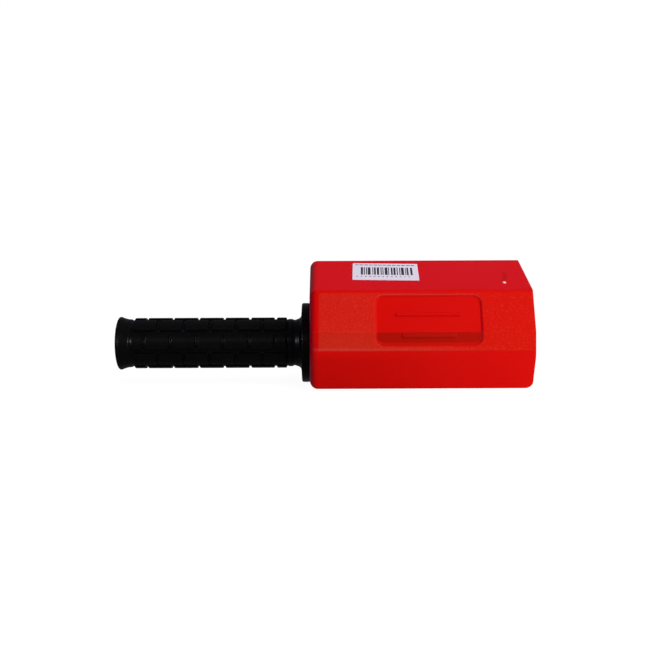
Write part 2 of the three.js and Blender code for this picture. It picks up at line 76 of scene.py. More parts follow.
HOOD_LOW, HOOD_HIGH = span("guard_hood")
GRIP_END, FLANGE_RADIUS, _ = span("rubber_grip")[1]
HOOD_X = HOOD_LOW.x
HOOD_LENGTH = HOOD_HIGH.x - HOOD_LOW.x
HOOD_WALL = 3.0
HOOD_RIDGE = HOOD_HIGH.z
HOOD_FLOOR = HOOD_LOW.z

# ---- Mesh helpers ----


def add_object(name, data):
    """A new object in the scene."""
    added = bpy.data.objects.new(name, data)
    bpy.context.scene.collection.objects.link(added)
    return added


def put(name, mesh, slot, body, node, sharp=32):
    """Puts a mesh in the scene as a piece that has the finish of a material slot, rides on a body
    and stands for a CAD node. Edges sharper than the angle in degrees stay sharp."""
    piece = add_object(name, mesh)
    mesh.shade_smooth()
    mesh.set_sharp_from_angle(angle=radians(sharp))
    weighted = piece.modifiers.new("even_shading", "WEIGHTED_NORMAL")
    weighted.keep_sharp = True
    mesh.materials.append(FINISHES[slot])
    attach(piece, body)
    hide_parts(node)
    return piece


def mesh_of(name, points, faces, walls=()):
    """A mesh in metres from points in millimetres, its normals turned outwards.
    Each wall is a flat face with holes, given as closed loops of point numbers."""
    mesh = bpy.data.meshes.new(name)
    mesh.from_pydata([Vector(p) * MM for p in points], [], faces)
    work = bmesh.new()
    work.from_mesh(mesh)
    work.verts.ensure_lookup_table()
    for loops in walls:
        edges = []
        for loop in loops:
            for a, b in zip(loop, loop[1:] + loop[:1]):
                ends = (work.verts[a], work.verts[b])
                edges.append(work.edges.get(ends) or work.edges.new(ends))
        bmesh.ops.triangle_fill(work, edges=edges, use_beauty=True)
    bmesh.ops.recalc_face_normals(work, faces=work.faces)
    work.to_mesh(mesh)
    work.free()
    return mesh


def give(mesh, name, values):
    """Stores one value for each point of the mesh, for its material to read."""
    mesh.attributes.new(name, "FLOAT", "POINT").data.foreach_set("value", values)


def cut(mesh, cutters):
    """The mesh with the closed cutter meshes taken out."""
    body = add_object("cut_body", mesh)
    tools = bpy.data.collections.new("cutters")
    bpy.context.scene.collection.children.link(tools)
    for cutter in cutters:
        tools.objects.link(bpy.data.objects.new("cutter", cutter))
    boolean = body.modifiers.new("cut", "BOOLEAN")
    boolean.operation = "DIFFERENCE"
    boolean.solver = "EXACT"
    boolean.operand_type = "COLLECTION"
    boolean.collection = tools
    bpy.context.view_layer.update()
    shaped = body.evaluated_get(bpy.context.evaluated_depsgraph_get())
    result = bpy.data.meshes.new_from_object(shaped)
    for tool in list(tools.objects):
        bpy.data.objects.remove(tool)
    bpy.data.objects.remove(body)
    bpy.data.collections.remove(tools)
    return result


def graded(start, end, marks, reach, fine, coarse):
    """Positions from start to end, fine within reach of each mark and coarser away from them."""
    places = [start]
    while places[-1] < end - fine * 0.5:
        here = places[-1]
        ahead = [abs(here - m) - reach for m in marks]
        step = max(fine, min([coarse] + ahead))
        places.append(min(here + step, end))
    return places


def polar(radius, angle):
    """The two coordinates of a place at an angle in degrees."""
    return radius * cos(radians(angle)), radius * sin(radians(angle))


def circle_points(radius, sides):
    """Points of a circle in (Y, Z)."""
    return [polar(radius, 360 * i / sides) for i in range(sides)]


def arc(centre, radius, start, end, steps=6):
    """Points of an arc between two angles in degrees, as (x, radius) pairs."""
    around = [polar(radius, start + (end - start) * i / steps) for i in range(steps + 1)]
    return [(centre[0] + along, centre[1] + out) for along, out in around]


def curve(p0, p1, p2, p3, steps):
    """Points of a cubic curve from p0 to p3."""
    points = []
    for i in range(steps + 1):
        t = i / steps
        a, b, c, d = (1 - t) ** 3, 3 * t * (1 - t) ** 2, 3 * t * t * (1 - t), t ** 3
        points.append(tuple(a * p0[k] + b * p1[k] + c * p2[k] + d * p3[k] for k in (0, 1)))
    return points


def softened(profile, radius):
    """A profile of (x, radius) pairs with each sharp corner swapped for a small round one."""
    out = []
    count = len(profile)
    for i in range(count):
        before, corner, after = profile[i - 1], profile[i], profile[(i + 1) % count]
        legs = [dist(before, corner), dist(corner, after)]
        reach = min(radius, 0.4 * min(legs))
        if reach < SMALLEST_ROUNDING:
            out.append(corner)
            continue
        a = [corner[k] + (before[k] - corner[k]) * reach / legs[0] for k in (0, 1)]
        b = [corner[k] + (after[k] - corner[k]) * reach / legs[1] for k in (0, 1)]
        for t in (0, 0.3, 0.7, 1):
            out.append(tuple((1 - t) ** 2 * a[k] + 2 * t * (1 - t) * corner[k] + t * t * b[k]
                             for k in (0, 1)))
    return out


def bands(rings, closed=True):
    """Faces between each two neighbouring rings of point numbers. Rings that are not closed are
    rows with two ends."""
    first = 0 if closed else 1
    return [(a[i - 1], a[i], b[i], b[i - 1])
            for a, b in zip(rings, rings[1:]) for i in range(first, len(a))]


def capped(rings):
    """Faces between the rings, and a flat face over the first and the last ring."""
    return bands(rings) + [tuple(rings[0]), tuple(rings[-1])]


def in_rings(count, size):
    """Point numbers of rings that were added one after the other."""
    return [range(k * size, (k + 1) * size) for k in range(count)]


def turned(name, profile, segments=SEGMENTS):
    """Turns (x, radius) pairs about the X axis. A profile that starts on the axis ends on it."""
    solid = profile[0][1] == 0
    sections = profile[1:-1] if solid else profile
    points = [(x, y, z) for x, radius in sections for y, z in circle_points(radius, segments)]
    rings = in_rings(len(sections), segments)
    return mesh_of(name, points, capped(rings) if solid else bands(rings + rings[:1]))


def rod(x0, x1, radius, sides=32, place=(0, 0)):
    """A round or many-sided bar along X, used to cut holes."""
    ring = circle_points(radius, sides)
    points = [(x, place[0] + y, place[1] + z) for x in (x0, x1) for y, z in ring]
    return mesh_of("rod", points, capped(in_rings(2, sides)))


def smooth(t):
    """Smooth step from 0 to 1."""
    t = min(max(t, 0.0), 1.0)
    return t * t * (3 - 2 * t)


def outside_rounded(past_x, past_y, corner):
    """How far a place is outside a rounded rectangle, from how far it is past each pair of sides."""
    dx, dy = past_x + corner, past_y + corner
    return hypot(max(dx, 0), max(dy, 0)) + min(max(dx, dy), 0) - corner


# ---- Materials ----


class Nodes:
    """Short calls for the nodes of one node tree."""

    def __init__(self, tree):
        self.nodes, self.links = tree.nodes, tree.links

    def feed(self, socket, value):
        """Links an input to another node's output, or sets its value."""
        if isinstance(value, bpy.types.NodeSocket):
            self.links.new(value, socket)
        elif isinstance(value, tuple) and socket.type == "RGBA":
            socket.default_value = (*value, 1)
        else:
            socket.default_value = value

    def add(self, kind, **inputs):
        """A node, its kind named without the usual prefix."""
        node = self.nodes.new("ShaderNode" + kind)
        for key, value in inputs.items():
            self.feed(node.inputs[key], value)
        return node


class Shader(Nodes):
    """A new procedural material."""

    def __init__(self, name, **values):
        self.material = bpy.data.materials.new(name)
        self.material.use_nodes = True
        super().__init__(self.material.node_tree)
        self.surface = self.nodes["Principled BSDF"]
        self.drive(**values)

    def drive(self, **values):
        """Feeds inputs of the surface, their names written with underscores."""
        for key, value in values.items():
            name = key.replace("_", " ").title().replace("Ior", "IOR")
            self.feed(self.surface.inputs[name], value)
        return self.material

    def place(self, scale=(1, 1, 1)):
        """Position on the object in metres, stretched."""
        coords = self.add("TexCoord").outputs["Object"]
        return self.add("Mapping", Vector=coords, Scale=scale).outputs["Vector"]

    def noise(self, scale, detail, stretch=(1, 1, 1)):
        place = self.place(stretch)
        node = self.add("TexNoise", Vector=place, Scale=scale, Detail=detail, Roughness=0.55)
        return node.outputs["Fac"]

    def between(self, factor, low, high):
        """low where the factor is 0 and high where it is 1; both are colours or both numbers."""
        if isinstance(high, tuple) or getattr(high, "type", "VALUE") == "RGBA":
            mix = self.add("Mix")
            mix.data_type = "RGBA"
            self.feed(mix.inputs[0], factor)
            self.feed(mix.inputs[6], low)
            self.feed(mix.inputs[7], high)
            return mix.outputs[2]
        limits = {"To Min": low, "To Max": high}
        return self.add("MapRange", Value=factor, **limits).outputs[0]

    def window(self, value, start, end, low=0.0, high=1.0):
        """Smooth step from low to high as value goes from start to end."""
        node = self.add("MapRange", Value=value, **{
            "From Min": start, "From Max": end, "To Min": low, "To Max": high})
        node.interpolation_type = "SMOOTHSTEP"
        return node.outputs[0]

    def math(self, operation, a, b):
        node = self.add("Math")
        node.operation = operation
        self.feed(node.inputs[0], a)
        self.feed(node.inputs[1], b)
        return node.outputs[0]

    def attribute(self, name):
        node = self.add("Attribute")
        node.attribute_name = name
        return node.outputs["Fac"]

    def bump(self, height, depth, strength, under=None):
        """Bump of a height map, depth in metres, over an earlier bump if one is given."""
        node = self.add("Bump", Height=height, Distance=depth, Strength=strength)
        if under is not None:
            self.links.new(under, node.inputs["Normal"])
        return node.outputs["Normal"]


def grey(level):
    return level, level, level


def red_plastic():
    """Moulded plastic, grained where the hood's attributes say so. Other attributes paint light into
    its colour: painted shade on the panel's band below the crease, on a streak above the gate mark
    and on a line above the roof edge, and painted highlights on the gate mark, the panel's upper rim
    and above the bend. Upward faces get a painted bluish sheen, the grained strip painted glints,
    and the rounding of the closed end painted shade and a painted bluish reflection."""
    s = Shader("moulded_red")
    grain, painted_band_shade = s.attribute("grain"), s.attribute("painted_band_shade")
    tone = s.noise(18, 2)
    normal = s.add("NewGeometry").outputs["Normal"]
    facing = s.add("SeparateXYZ", Vector=normal)
    upward = s.window(facing.outputs["Z"], 0.6, 0.85)
    place = s.add("SeparateXYZ", Vector=s.place())
    lower = s.window(place.outputs["Z"], 0.022, 0.0)
    # Normals facing left pick out the rounding of the closed end, which gets painted shade and a painted
    # bluish reflection.
    painted_end_shade_and_sheen = s.math("MULTIPLY", s.window(facing.outputs["X"], -0.3, -0.8),
                          s.window(facing.outputs["X"], -1.0, -0.98))
    base = s.between(tone, (0.51, 0.0022, 0.0014), (0.56, 0.0028, 0.0018))
    # Painted bluish sheen in the colour of upward faces.
    base = s.between(s.math("MULTIPLY", upward, 0.6), base, (0.535, 0.0025, 0.0095))
    # Painted glints: orange specks in the grained strip's colour stand in for light sparkling on the
    # grain.
    speck = s.window(s.noise(900, 2), 0.52, 0.72)
    painted_grain_glints = s.math("MULTIPLY", speck, grain)
    colour = s.between(s.math("MULTIPLY", painted_grain_glints, 0.5), base, (0.62, 0.03, 0.008))
    # Painted shade on the panel's band below the crease.
    colour = s.between(s.math("MULTIPLY", painted_band_shade, 0.75), colour, (0.29, 0.005, 0.0012))
    # Painted shade on the streak above the gate mark and on the line above the roof edge.
    colour = s.between(s.math("MULTIPLY", s.attribute("painted_shade_marks"), 0.6), colour, (0.30, 0.003, 0.001))
    # Painted highlights: a pale spot on the gate mark and pale lines on the panel's upper rim and above
    # the bend.
    colour = s.between(s.attribute("pale"), colour, (0.95, 0.55, 0.60))
    rough = s.math("ADD", s.between(grain, 0.24, 0.44), s.between(tone, -0.03, 0.04))
    # Painted shade on the rounding of the closed end.
    colour = s.between(painted_end_shade_and_sheen, colour, (0.32, 0.0018, 0.006))
    smooth_level = s.between(upward, 0.03, 0.07)
    grain_level = s.window(place.outputs["X"], 0.15, 0.27, s.between(lower, 0.26, 0.36), 0.07)
    level = s.between(grain, smooth_level, grain_level)
    # Painted bluish reflection: the gloss of upward faces is tinted blue.
    smooth_tint = s.between(upward, (1.0, 0.9, 0.8), (0.8, 0.55, 1.0))
    grain_tint = s.between(lower, (1.0, 0.8, 0.45), (0.9, 0.95, 0.4))
    tint = s.between(grain, smooth_tint, grain_tint)
    # Painted bluish reflection on the end rounding: more gloss, tinted blue.
    level = s.math("ADD", level, s.math("MULTIPLY", painted_end_shade_and_sheen, 0.15))
    tint = s.between(painted_end_shade_and_sheen, tint, (0.5, 0.4, 1.0))
    fine = s.bump(s.noise(260, 2), 0.00004, 0.25)
    leather = s.bump(s.math("MULTIPLY", s.noise(1400, 3), grain), 0.00022, 0.9, under=fine)
    return s.drive(base_color=colour, roughness=rough, normal=leather, specular_ior_level=level,
                   specular_tint=tint)


def black_rubber():
    """Satin rubber, duller on the steep sides of the tread blocks and darker there as painted shade."""
    s = Shader("satin_rubber")
    worn = s.noise(40, 4)
    colour = s.between(worn, grey(0.0014), grey(0.0034))
    steep = s.attribute("steep")
    # Painted shade on the steep sides of the blocks.
    colour = s.between(steep, colour, grey(0.0006))
    level = s.between(steep, 0.32, 0.05)
    rough = s.between(s.noise(160, 3), 0.2, 0.34)
    skin = s.bump(s.noise(1100, 3), 0.00005, 0.4)
    return s.drive(base_color=colour, roughness=rough, normal=skin, specular_ior_level=level)


def label_paper():
    s = Shader("coated_paper", specular_ior_level=0.3)
    colour = s.between(s.noise(700, 3), (0.58, 0.535, 0.61), (0.66, 0.605, 0.69))
    rough = s.between(s.noise(90, 2), 0.45, 0.65)
    return s.drive(base_color=colour, roughness=rough, normal=s.bump(s.noise(60, 2), 0.0001, 0.4))


def label_ink():
    s = Shader("printed_ink", specular_ior_level=0.2)
    colour = s.between(s.noise(1500, 3), (0.012, 0.012, 0.016), (0.05, 0.05, 0.065))
    return s.drive(base_color=colour, roughness=s.between(s.noise(400, 2), 0.4, 0.6))


def metal(name, dark, light, roughness, rings):
    """Metal with fine marks from turning or rolling, rings to the metre along X."""
    s = Shader(name, metallic=1.0)
    marks = s.noise(1.0, 4, stretch=(rings, 60, 60))
    patches = s.noise(60, 3)
    rough = s.math("ADD", s.between(marks, roughness - 0.06, roughness + 0.06),
                   s.between(patches, -0.04, 0.04))
    colour = s.between(patches, dark, light)
    return s.drive(base_color=colour, roughness=rough, normal=s.bump(marks, 0.00003, 0.5))


def moulded(name, dark, light, roughness, grain):
    """Plain moulded plastic or rubber with a fine skin."""
    s = Shader(name, specular_ior_level=0.35)
    colour = s.between(s.noise(70, 3), dark, light)
    rough = s.between(s.noise(300, 3), roughness - 0.08, roughness + 0.08)
    return s.drive(base_color=colour, roughness=rough, normal=s.bump(s.noise(grain, 3), 0.00005, 0.5))


FINISHES = {
    "red_plastic": red_plastic(),
    "black_rubber": black_rubber(),
    "label_paper": label_paper(),
    "aluminium": metal("turned_aluminium", (0.52, 0.53, 0.55), (0.66, 0.67, 0.69), 0.34, 4000),
    "plated_steel": metal("zinc_plate", (0.36, 0.37, 0.39), (0.50, 0.51, 0.53), 0.3, 3000),
    "bearing_steel": metal("ground_steel", (0.55, 0.56, 0.58), (0.70, 0.71, 0.73), 0.14, 6000),
    "spring_steel": metal("black_steel", (0.035, 0.035, 0.04), (0.07, 0.07, 0.075), 0.42, 1500),
    "grey_plastic": moulded("grey_nylon", (0.055, 0.058, 0.062), (0.085, 0.088, 0.092), 0.55, 900),
    "seal_rubber": moulded("matt_rubber", (0.008, 0.008, 0.009), (0.016, 0.016, 0.018), 0.6, 1200),
}
LABEL_INK = label_ink()

# ---- Guard hood ----

# Flat facets of each half of the section, down from the ridge: tilt of the outward normal above
# the horizontal in degrees, and width.
ROOF, SHOULDER, BAND, SKIRT = (67.5, 51.2), (22.5, 29.8), (3.0, 16.4), (-22.5, 24.4)
FACETS = (ROOF, SHOULDER, BAND, SKIRT)
CORNER_RADII = (1.5, 2.0, 4.0, 14.0)  # ridge, roof edge, crease, bend into the skirt
CORNER_ROOM = (1.05, 1.3, 2.3, 3.8, 1.8)  # of a facet's width, left to each corner and to the rim
CORNER_STEPS, WIDE_CORNER_STEPS, WIDE_CORNER = 6, 10, 6.0
EDGE_ROUNDING = 0.8
END_ROUNDING = 5.5
OPEN_CORNER = 5.0

PANEL = Sizes(x=79.5, length=71.8, top=3.3, bottom=39.1, corner=6.0, depth=0.9, wall=1.4,
              low_wall=2.6)
PANEL_RIBS = ((79.5, 17.2, 21.0), (79.5, 32.4, 17.0))  # x, distance down, half length
RIB_HALF_WIDTH, RIB_HEIGHT, RIB_SLOPE = 1.3, 0.8, 0.6
PANEL_RIM_LIGHT, BEND_LIGHT = 0.04, 0.03  # painted highlight lines on the panel's upper rim and above the bend
ROOF_EDGE_SHADE = 0.5  # painted shade line just above the roof edge
GATE_MARK = Sizes(x=133.2, down=-11.5, long=2.3, wide=1.5, height=0.6)
SINK_MARK = Sizes(x=135.2, down=-22.0, long=8.5, wide=1.9, lean=9)
GRAIN_START, GRAIN_END = 1.2, SHOULDER[1] + 12.6  # the grained strip, down from the roof edge
NEAR_START = 5.0  # marks and the panel lie at least this far to the near side of the ridge
FINE, COARSE = 0.4, 3.0  # spacing of the skin's points near its details and elsewhere
SMALLEST_STEP = 0.02  # between neighbouring cross-sections
TUBE_HOLE, SCREW_HOLE, SCREW_CIRCLE = 11.3, 2.25, 15.6  # radii in the closed end
SCREW_PLACES = [polar(SCREW_CIRCLE, angle) for angle in (45, 135, 225, 315)]


def corners(inset, floor):
    """Sharp corners of the near half section from the ridge to the low edge, in (Y, Z)."""
    lines = []
    y, z = 0.0, HOOD_RIDGE
    for tilt, width in FACETS:
        ny, nz = -cos(radians(tilt)), sin(radians(tilt))
        lines.append((ny, nz, ny * y + nz * z - inset))
        y, z = y + width * -nz, z + width * ny
    lines = [(1.0, 0.0, 0.0)] + lines + [(0.0, 1.0, floor)]
    found = []
    for (a, b, c), (d, e, f) in zip(lines, lines[1:]):
        det = a * e - b * d
        found.append(Vector(((c * e - f * b) / det, (a * f - d * c) / det)))
    return found


def fillet(before, corner, after, radius, steps):
    """Points of the arc that rounds a corner between two straight legs."""
    u, v = (before - corner).normalized(), (after - corner).normalized()
    half = u.angle(v) / 2
    centre = corner + (u + v).normalized() * (radius / sin(half))
    reach = radius / tan(half)
    start, end = corner + u * reach - centre, corner + v * reach - centre
    a = atan2(start.y, start.x)
    sweep = (atan2(end.y, end.x) - a + pi) % (2 * pi) - pi
    turns = [a + sweep * i / steps for i in range(steps + 1)]
    return [centre + radius * Vector((cos(t), sin(t))) for t in turns]


def half_outline(inset, floor, rim_side, spacing):
    """Near half of a section outline from the ridge to the rim, with rounded corners.
    rim_side is 1 for the outer skin, whose rim turns inwards, and -1 for the inner skin.
    spacing gives the distances of the points along each facet."""
    sharp = corners(inset, floor)
    ridge = sharp[0]
    mirrored = Vector((-sharp[1].x, sharp[1].y))
    crown = fillet(mirrored, ridge, sharp[1], max(CORNER_RADII[0] - inset, 0.4), CORNER_STEPS)
    points = crown[CORNER_STEPS // 2:]
    for i, (_, width) in enumerate(FACETS):
        a, b = sharp[i], sharp[i + 1]
        points += [a.lerp(b, s / width) for s in spacing[i]]
        if i + 1 < len(FACETS):
            radius = max(CORNER_RADII[i + 1] - inset, 0.6)
            steps = CORNER_STEPS if radius < WIDE_CORNER else WIDE_CORNER_STEPS
            points += fillet(a, b, sharp[i + 2], radius, steps)
    rim = sharp[-1] + Vector((rim_side, 0))
    return points + fillet(sharp[-2], sharp[-1], rim, EDGE_ROUNDING, 4)


def spacing_for(marks, fine):
    """Distances of the points along each facet, clear of the rounded corners."""
    down = 0.0
    spacing = []
    for i, (_, width) in enumerate(FACETS):
        local = [m - (down - ROOF[1]) for m in marks]
        spacing.append(graded(CORNER_ROOM[i], width - CORNER_ROOM[i + 1], local, 2.4, fine, COARSE))
        down += width
    return spacing


def round_in(distance, radius):
    """How far a rounding of this radius pulls back at a distance from the edge."""
    gap = max(radius - distance, 0.0)
    return radius - sqrt(max(radius * radius - gap * gap, 0.0))


def panel_depth(x, down):
    """How far the panel sinks the near skin, less the ribs that stand up from its floor, and how
    far the place is outside the panel's rim and outside its flat floor."""
    middle = (PANEL.bottom + PANEL.top) / 2
    past_x = abs(x - PANEL.x) - PANEL.length / 2
    past_s = abs(down - middle) - (PANEL.bottom - PANEL.top) / 2
    outside = outside_rounded(past_x, past_s, PANEL.corner)
    wall = PANEL.low_wall if past_s > past_x and down > middle else PANEL.wall
    sunk = PANEL.depth * smooth(-outside / wall)
    for rib_x, rib_down, half in PANEL_RIBS:
        away = hypot(max(abs(x - rib_x) - half, 0), down - rib_down)
        sunk -= RIB_HEIGHT * smooth((RIB_HALF_WIDTH - away) / RIB_SLOPE)
    return sunk, outside, outside + wall


def on_line(distance, half_width):
    """1 on a line and 0 from its half width on."""
    return smooth(1 - abs(distance) / half_width)


def gate_height(x, down):
    along, across = (down - GATE_MARK.down) / GATE_MARK.long, x - GATE_MARK.x
    return GATE_MARK.height * smooth(1 - hypot(along, across / GATE_MARK.wide))


def sink_mark(x, down):
    """Strength of the soft streak of painted shade above the gate mark."""
    lean = radians(SINK_MARK.lean)
    dx, ds = x - SINK_MARK.x, SINK_MARK.down - down
    along = dx * sin(lean) + ds * cos(lean)
    across = dx * cos(lean) - ds * sin(lean)
    return smooth(1.3 - hypot(along / SINK_MARK.long, across / SINK_MARK.wide))


def near_look(x, down, gate, outside, off_floor):
    """Painted light of the near skin: shade below the crease in the panel, paleness that paints
    highlights on the gate mark, the panel's upper rim and above the bend, and shade on a streak above
    the gate mark and a line above the roof edge. It takes the gate mark's height there and how far
    the place is outside the panel's rim and its floor."""
    below_crease = smooth((down - SHOULDER[1] + 0.4) / 0.8)
    rim_light = PANEL_RIM_LIGHT * on_line(outside, 0.5) * (down < PANEL.top + 2)
    bend_light = BEND_LIGHT * on_line(down - GRAIN_END + 1.2, 1.4) * (1 - x / HOOD_LENGTH)
    return {
        "painted_band_shade": below_crease * (0.35 * smooth(-outside / 0.4) + 0.65 * smooth((0.3 - off_floor) / 0.4)),
        "pale": max(smooth(2 * gate / GATE_MARK.height), rim_light, bend_light),
        "painted_shade_marks": max(sink_mark(x, down), ROOF_EDGE_SHADE * on_line(down + 0.4, 0.7)),
    }


def half_distances(half):
    """Distance of each point of a half outline down from the roof edge."""
    lengths = [0.0]
    for a, b in zip(half, half[1:]):
        lengths.append(lengths[-1] + (b - a).length)
    edge = corners(0, HOOD_FLOOR)[1]
    nearest = min(range(len(half)), key=lambda i: (half[i] - edge).length)
    return [s - lengths[nearest] for s in lengths]


def along_rounding(radius, steps):
    """Distances from an edge at which a rounding of this radius is drawn."""
    return [radius * (1 - cos(pi / 2 * i / steps)) for i in range(steps + 1)]


def hood_stations(columns):
    """Places of the hood's cross-sections along X, fine at its ends and near the given columns."""
    inside = [HOOD_WALL + x for x in along_rounding(END_ROUNDING - HOOD_WALL, 3)]
    closed = along_rounding(END_ROUNDING, 10) + inside
    opened = along_rounding(OPEN_CORNER, 6) + along_rounding(EDGE_ROUNDING, 3)
    opened = [HOOD_LENGTH - x for x in opened]
    middle = graded(END_ROUNDING + 1, HOOD_LENGTH - OPEN_CORNER - 1, columns, reach=4.2, fine=FINE,
                    coarse=COARSE)
    stations = []
    for x in sorted(closed + middle + opened):
        if not stations or x - stations[-1] > SMALLEST_STEP:
            stations.append(x)
    return stations


def guard_hood():
    """The hood as one closed shell: outer and inner skin, low rims, rim round the open end, and the
    closed end wall with its holes."""
    # The skin's points are close together at the panel's rim, its ribs and the gate mark.
    rows = [PANEL.top + 0.8, PANEL.bottom - 0.8, GATE_MARK.down]
    columns = [PANEL.x + side * (PANEL.length / 2 - 2.5) for side in (-1, 1)]
    columns += [GATE_MARK.x]
    for rib_x, rib_down, half in PANEL_RIBS:
        rows += [rib_down]
        columns += [rib_x - half, rib_x + half]
    near_spacing = spacing_for(rows, FINE)
    far_spacing = spacing_for([], COARSE)

    def outline(inset, floor, rim_side):
        near = half_outline(inset, floor, rim_side, near_spacing)
        far = half_outline(inset, floor, rim_side, far_spacing)
        return near[::-1] + [Vector((-p.x, p.y)) for p in far[1:]]

    down = half_distances(half_outline(0, HOOD_FLOOR, 1, near_spacing))[::-1]
    down += half_distances(half_outline(0, HOOD_FLOOR, 1, far_spacing))[1:]
    count = len(down)
    points = []
    # Besides the grain, these looks carry painted light: shade below the crease, highlights and shade
    # marks.
    looks = {name: [] for name in ("grain", "painted_band_shade", "pale", "painted_shade_marks")}

    def add(x, y, z, **look):
        points.append((HOOD_X + x, y, z))
        for name, values in looks.items():
            values.append(look.get(name, 0.0))
        return len(points) - 1

    def outer_ring(x, section):
        """One cross-section of the outer skin, with the panel and the gate mark on its near side."""
        ring = []
        for i, p in enumerate(section):
            s = down[i]
            grain = smooth((s - GRAIN_START) / 1.6) * smooth((GRAIN_END - s) / 0.5)
            look = {"grain": grain * smooth((x - END_ROUNDING) / 0.8)}
            spot = p
            if p.x < -NEAR_START:
                sunk, outside, off_floor = panel_depth(x, s)
                gate = gate_height(x, s)
                along = (section[min(i + 1, count - 1)] - section[max(i - 1, 0)]).normalized()
                spot = p + Vector((along.y, -along.x)) * (sunk - gate)
                look["grain"] *= smooth((outside + 0.2) / 0.4)
                look |= near_look(x, s, gate, outside, off_floor)
            ring.append(add(x, spot.x, spot.y, **look))
        return ring

    stations = hood_stations(columns)
    outer, inner = [], []
    for x in stations:
        floor = HOOD_FLOOR + round_in(x, END_ROUNDING) + round_in(HOOD_LENGTH - x, OPEN_CORNER)
        lip = round_in(HOOD_LENGTH - x, EDGE_ROUNDING)
        outer.append(outer_ring(x, outline(round_in(x, END_ROUNDING) + lip, floor, 1)))
        if x >= HOOD_WALL - 0.001:
            inset = HOOD_WALL + round_in(x - HOOD_WALL, END_ROUNDING - HOOD_WALL) - lip
            inner.append([add(x, p.x, p.y) for p in outline(inset, floor, -1)])

    first = len(outer) - len(inner)
    low_rims = [[[ring[end] for ring in rings] for rings in (outer[first:], inner)]
                for end in (0, -1)]
    open_rim = [outer[-1], inner[-1]]
    faces = [face for rows in (outer, inner, *low_rims, open_rim)
             for face in bands(rows, closed=False)]

    under = []  # the end wall's underside, then its two flat faces
    inner_y, half_wall = points[inner[0][0]][1], HOOD_WALL / 2
    for k in range(first):
        near_x, near_y, near_z = points[outer[k][0]]
        y = near_y + half_wall + (inner_y - near_y - half_wall) * stations[k] / HOOD_WALL
        middle = [add(near_x - HOOD_X, side * y, near_z) for side in (1, -1)]
        under.append([outer[k][0]] + middle + [outer[k][-1]])
    under.append([outer[first][0], inner[0][0], inner[0][-1], outer[first][-1]])
    faces += bands(under, closed=False)
    walls = [[outer[0] + [under[0][2], under[0][1]]], [inner[0]]]
    holes = [(TUBE_HOLE, 64, (0, 0))] + [(SCREW_HOLE, 24, place) for place in SCREW_PLACES]
    for radius, sides, (y, z) in holes:
        mouths = [[add(x, y + a, z + b) for a, b in circle_points(radius, sides)]
                  for x in (0, HOOD_WALL)]
        faces += bands(mouths)
        for wall, mouth in zip(walls, mouths):
            wall.append(mouth)

    mesh = mesh_of("hood_shell", points, faces, walls)
    for name, values in looks.items():
        give(mesh, name, values)
    return mesh


# ---- Rubber grip ----

NECK_RADIUS, BLOCK_RADIUS, LIP_RADIUS = 16.95, 18.3, 19.2
FLANGE_X = 131.9
POCKET_RADIUS, POCKET_DEPTH = 19.8, 3.1
GRIP_BORE, GRIP_END_WALL = 11.1, 3.0
# Tread: rows of blocks round the barrel, grooves of alternate rows half a pitch apart. Angles are in
# degrees from the top towards the near side; turn lifts the near row above the horizontal.
TREAD = Sizes(rows=8, turn=8, start=11.3, end=121.5, pitch=18.6, first_groove=20.3)
BLOCK_HALF_ANGLE = 19.2  # at the foot of a block
GROOVE_HALF = 0.65  # at the foot
BLOCK_SLOPE, BLOCK_CORNER = 0.6, 1.3
ROW_STEP = 360 / TREAD.rows


def row_blocks(row):
    """The foot of each tread block of a row along X, as (start, end) pairs."""
    groove = TREAD.first_groove + TREAD.pitch / 2 * (row % 2)
    ends = [TREAD.start]
    while groove < TREAD.end - 3:
        ends += [groove - GROOVE_HALF, groove + GROOVE_HALF]
        groove += TREAD.pitch
    ends.append(TREAD.end)
    return list(zip(ends[::2], ends[1::2]))


ROW_BLOCKS = [row_blocks(row) for row in (0, 1)]


def tread_height(x, angle):
    """Height of the tread above the grip's neck, 0 to 1, at a place along X and an angle."""
    if not TREAD.start < x < TREAD.end:
        return 0.0
    turned_angle = angle + TREAD.turn
    row = round(turned_angle / ROW_STEP)
    across = radians(BLOCK_HALF_ANGLE - abs(turned_angle - row * ROW_STEP)) * NECK_RADIUS
    along = max(min(x - start, end - x) for start, end in ROW_BLOCKS[row % 2])
    return smooth(-outside_rounded(-along, -across, BLOCK_CORNER) / BLOCK_SLOPE)


# Parts of the grip's half section, as (x, radius) points: the curve behind the lip, the groove
# before the tread, the two rings after it, and the curve up to the flange.
LIP_CURVE = ((1.5, LIP_RADIUS), (2.3, 18.6), (4.5, 18.0), (6.6, 17.5))
GROOVE = ((7.6, 17.5), (8.3, 17.48), (8.8, 17.3), (9.3, 16.95), (9.8, 16.75), (10.4, 16.8))
RINGS = ((122.0, 16.6), (122.3, 17.0), (122.6, 17.2), (125.0, 17.25), (125.6, 17.1), (126.1, 16.7),
         (126.6, 16.6), (127.6, 16.6), (128.2, 16.8))
FLANGE_CURVE = ((128.6, 17.1), (130.6, 17.4), (131.7, 18.4), (FLANGE_X, 20.6))
LIP_ROUNDING, FLANGE_BACK_ROUNDING, FLANGE_FRONT_ROUNDING = 0.9, 1.3, 1.4


